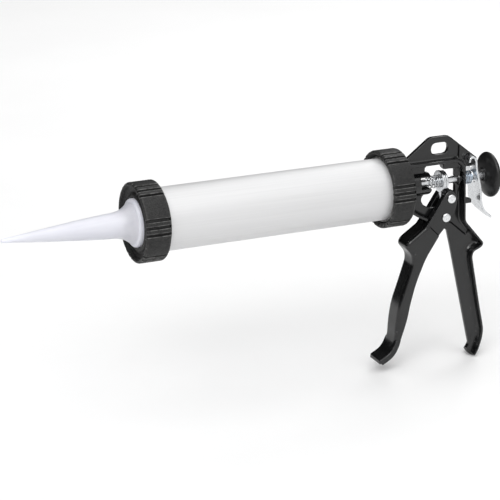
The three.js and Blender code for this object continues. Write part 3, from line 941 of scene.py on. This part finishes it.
def nozzle():
    profile = [
        (0, 387), (1.9, 375, 4), (3.7, 358, 4), (5.4, 342, 4), (7.2, 325, 4), (8.6, 309, 4), (8.8, 300, 3),
        (9.9, 294, 3), (13.2, 288, 2), (17.2, 282.2, 1), (18, 279, 1), (18, 271.3, 0.3), (25, 271.3, 0.3),
        (25, 273.4, 0.4), (20.2, 273.7, 0.4), (20.2, 280.2, 0.5), (19.7, 281.7, 0.6), (18.6, 282.5, 0.5),
        (17.9, 282.3, 0.4), (17.2, 283.2, 0.6), (14.4, 286.8, 3), (11.7, 291.6, 3), (10.5, 297.6, 3),
        (10.1, 307, 5), (8.6, 326, 8), (6.8, 343, 8), (5.1, 360, 8), (3.3, 376.5, 6), (1.75, 390.8, 1),
        (1.5, 392.3, 0.4), (0.7, 392.9, 0.4), (0, 392.9),
    ]
    mesh = turned(profile, 192)
    piece("cone_nozzle", mesh, "nozzle_seat", ["nozzle"], NOZZLE_PLASTIC, 40)


ring_nut()
front_cap()
collar("rear_thread_collar", "rear_collar")
collar("front_thread_collar", "front_collar")
tube()
seat()
nozzle()


# ---- floor, lights and camera ----
GUN_MIDDLE = Vector((0.1, 0, -0.06))


def stage():
    """A pale floor. Its far part, behind the gun, is dark where the gun reflects it."""
    material, tree, shader, coords = nodes_of("pale_floor")
    tint = ramp(tree, noise(tree, coords, 3), [(0.3, (0.92, 0.92, 0.92)), (0.7, (0.95, 0.95, 0.95))])
    split = tree.nodes.new("ShaderNodeSeparateXYZ")
    tree.links.new(coords, split.inputs["Vector"])
    near = spread(tree, split.outputs["Y"], 0, 1, -0.75, -0.4)
    reflected = mixed(tree, near, (0.04, 0.04, 0.04), (0.85, 0.85, 0.85))
    path = tree.nodes.new("ShaderNodeLightPath").outputs["Is Camera Ray"]
    tree.links.new(mixed(tree, path, reflected, tint), shader.inputs["Base Color"])
    shader.inputs["Roughness"].default_value = 0.9
    shader.inputs["Specular IOR Level"].default_value = 0.1
    bm = bmesh.new()
    bmesh.ops.create_grid(bm, x_segments=2, y_segments=2, size=6)
    mesh = bpy.data.meshes.new("floor")
    bm.to_mesh(mesh)
    bm.free()
    mesh.materials.append(material)
    floor = bpy.data.objects.new("floor", mesh)
    floor.location.z = cad_box[0][2] - 0.001
    bpy.context.scene.collection.objects.link(floor)


def softbox(name, place, size, power):
    """A rectangular light aimed at the middle of the gun."""
    light = bpy.data.lights.new(name, "AREA")
    light.shape = "RECTANGLE"
    light.size, light.size_y = size
    light.energy = power
    made = bpy.data.objects.new(name, light)
    made.location = place
    made.rotation_euler = (GUN_MIDDLE - Vector(place)).to_track_quat("-Z", "Y").to_euler()
    bpy.context.scene.collection.objects.link(made)


def daylight(toward, power):
    """An even light from a very large source, so that the floor is pale all over."""
    light = bpy.data.lights.new("daylight", "SUN")
    light.energy = power
    light.angle = math.radians(80)
    made = bpy.data.objects.new("daylight", light)
    made.rotation_euler = (-Vector(toward)).to_track_quat("-Z", "Y").to_euler()
    bpy.context.scene.collection.objects.link(made)


def sky():
    """Soft white light from above and from the camera's side. The side behind the gun is darker."""
    world = bpy.data.worlds.new("studio")
    bpy.context.scene.world = world
    world.use_nodes = True
    tree = world.node_tree
    back = tree.nodes["Background"]
    out = tree.nodes["World Output"]
    coords = tree.nodes.new("ShaderNodeTexCoord").outputs["Generated"]
    split = tree.nodes.new("ShaderNodeSeparateXYZ")
    tree.links.new(coords, split.inputs["Vector"])
    above = spread(tree, split.outputs["Z"], 0.02, 0.75, 0.58, 0.9)
    front = spread(tree, split.outputs["Y"], 0.02, 0.85, 0.2, 0.75)
    brighter = tree.nodes.new("ShaderNodeMath")
    brighter.operation = "MAXIMUM"
    tree.links.new(above, brighter.inputs[0])
    tree.links.new(front, brighter.inputs[1])
    tree.links.new(brighter.outputs["Value"], back.inputs["Strength"])
    back.inputs["Color"].default_value = (1, 1, 1, 1)
    seen = tree.nodes.new("ShaderNodeBackground")
    seen.inputs["Color"].default_value = (1, 1, 1, 1)
    path = tree.nodes.new("ShaderNodeLightPath")
    mix = tree.nodes.new("ShaderNodeMixShader")
    tree.links.new(path.outputs["Is Camera Ray"], mix.inputs["Fac"])
    tree.links.new(back.outputs["Background"], mix.inputs[1])
    tree.links.new(seen.outputs["Background"], mix.inputs[2])
    tree.links.new(mix.outputs["Shader"], out.inputs["Surface"])


def camera():
    """Looks at the gun from its left and front, from slightly above."""
    turn = math.radians(23.83)
    rise = math.radians(18.17)
    distance = 1.8
    target = Vector(((TUBE_BACK + TUBE_FRONT) / 2 * MM + 0.017, 0, AXIS * MM))
    aside = Vector((math.cos(rise) * math.sin(turn), math.cos(rise) * math.cos(turn), math.sin(rise)))
    lens = bpy.data.cameras.new("camera")
    lens.lens = 155.8
    lens.clip_end = 50
    made = bpy.data.objects.new("camera", lens)
    made.location = target + aside * distance
    aim = target + Vector((0.0068, 0.0093, -0.0343))  # places the gun in the picture as in the photo
    made.rotation_euler = (aim - made.location).to_track_quat("-Z", "Y").to_euler()
    bpy.context.scene.collection.objects.link(made)
    bpy.context.scene.camera = made


stage()
sky()
softbox("key", (0.9, 0.9, 1.0), (0.9, 0.6), 7)
daylight((0.15, 0.35, 1.0), 1.22)
softbox("rear", (-0.9, -0.9, 1.0), (0.8, 0.8), 7)
camera()
bpy.context.scene.view_settings.view_transform = "Standard"
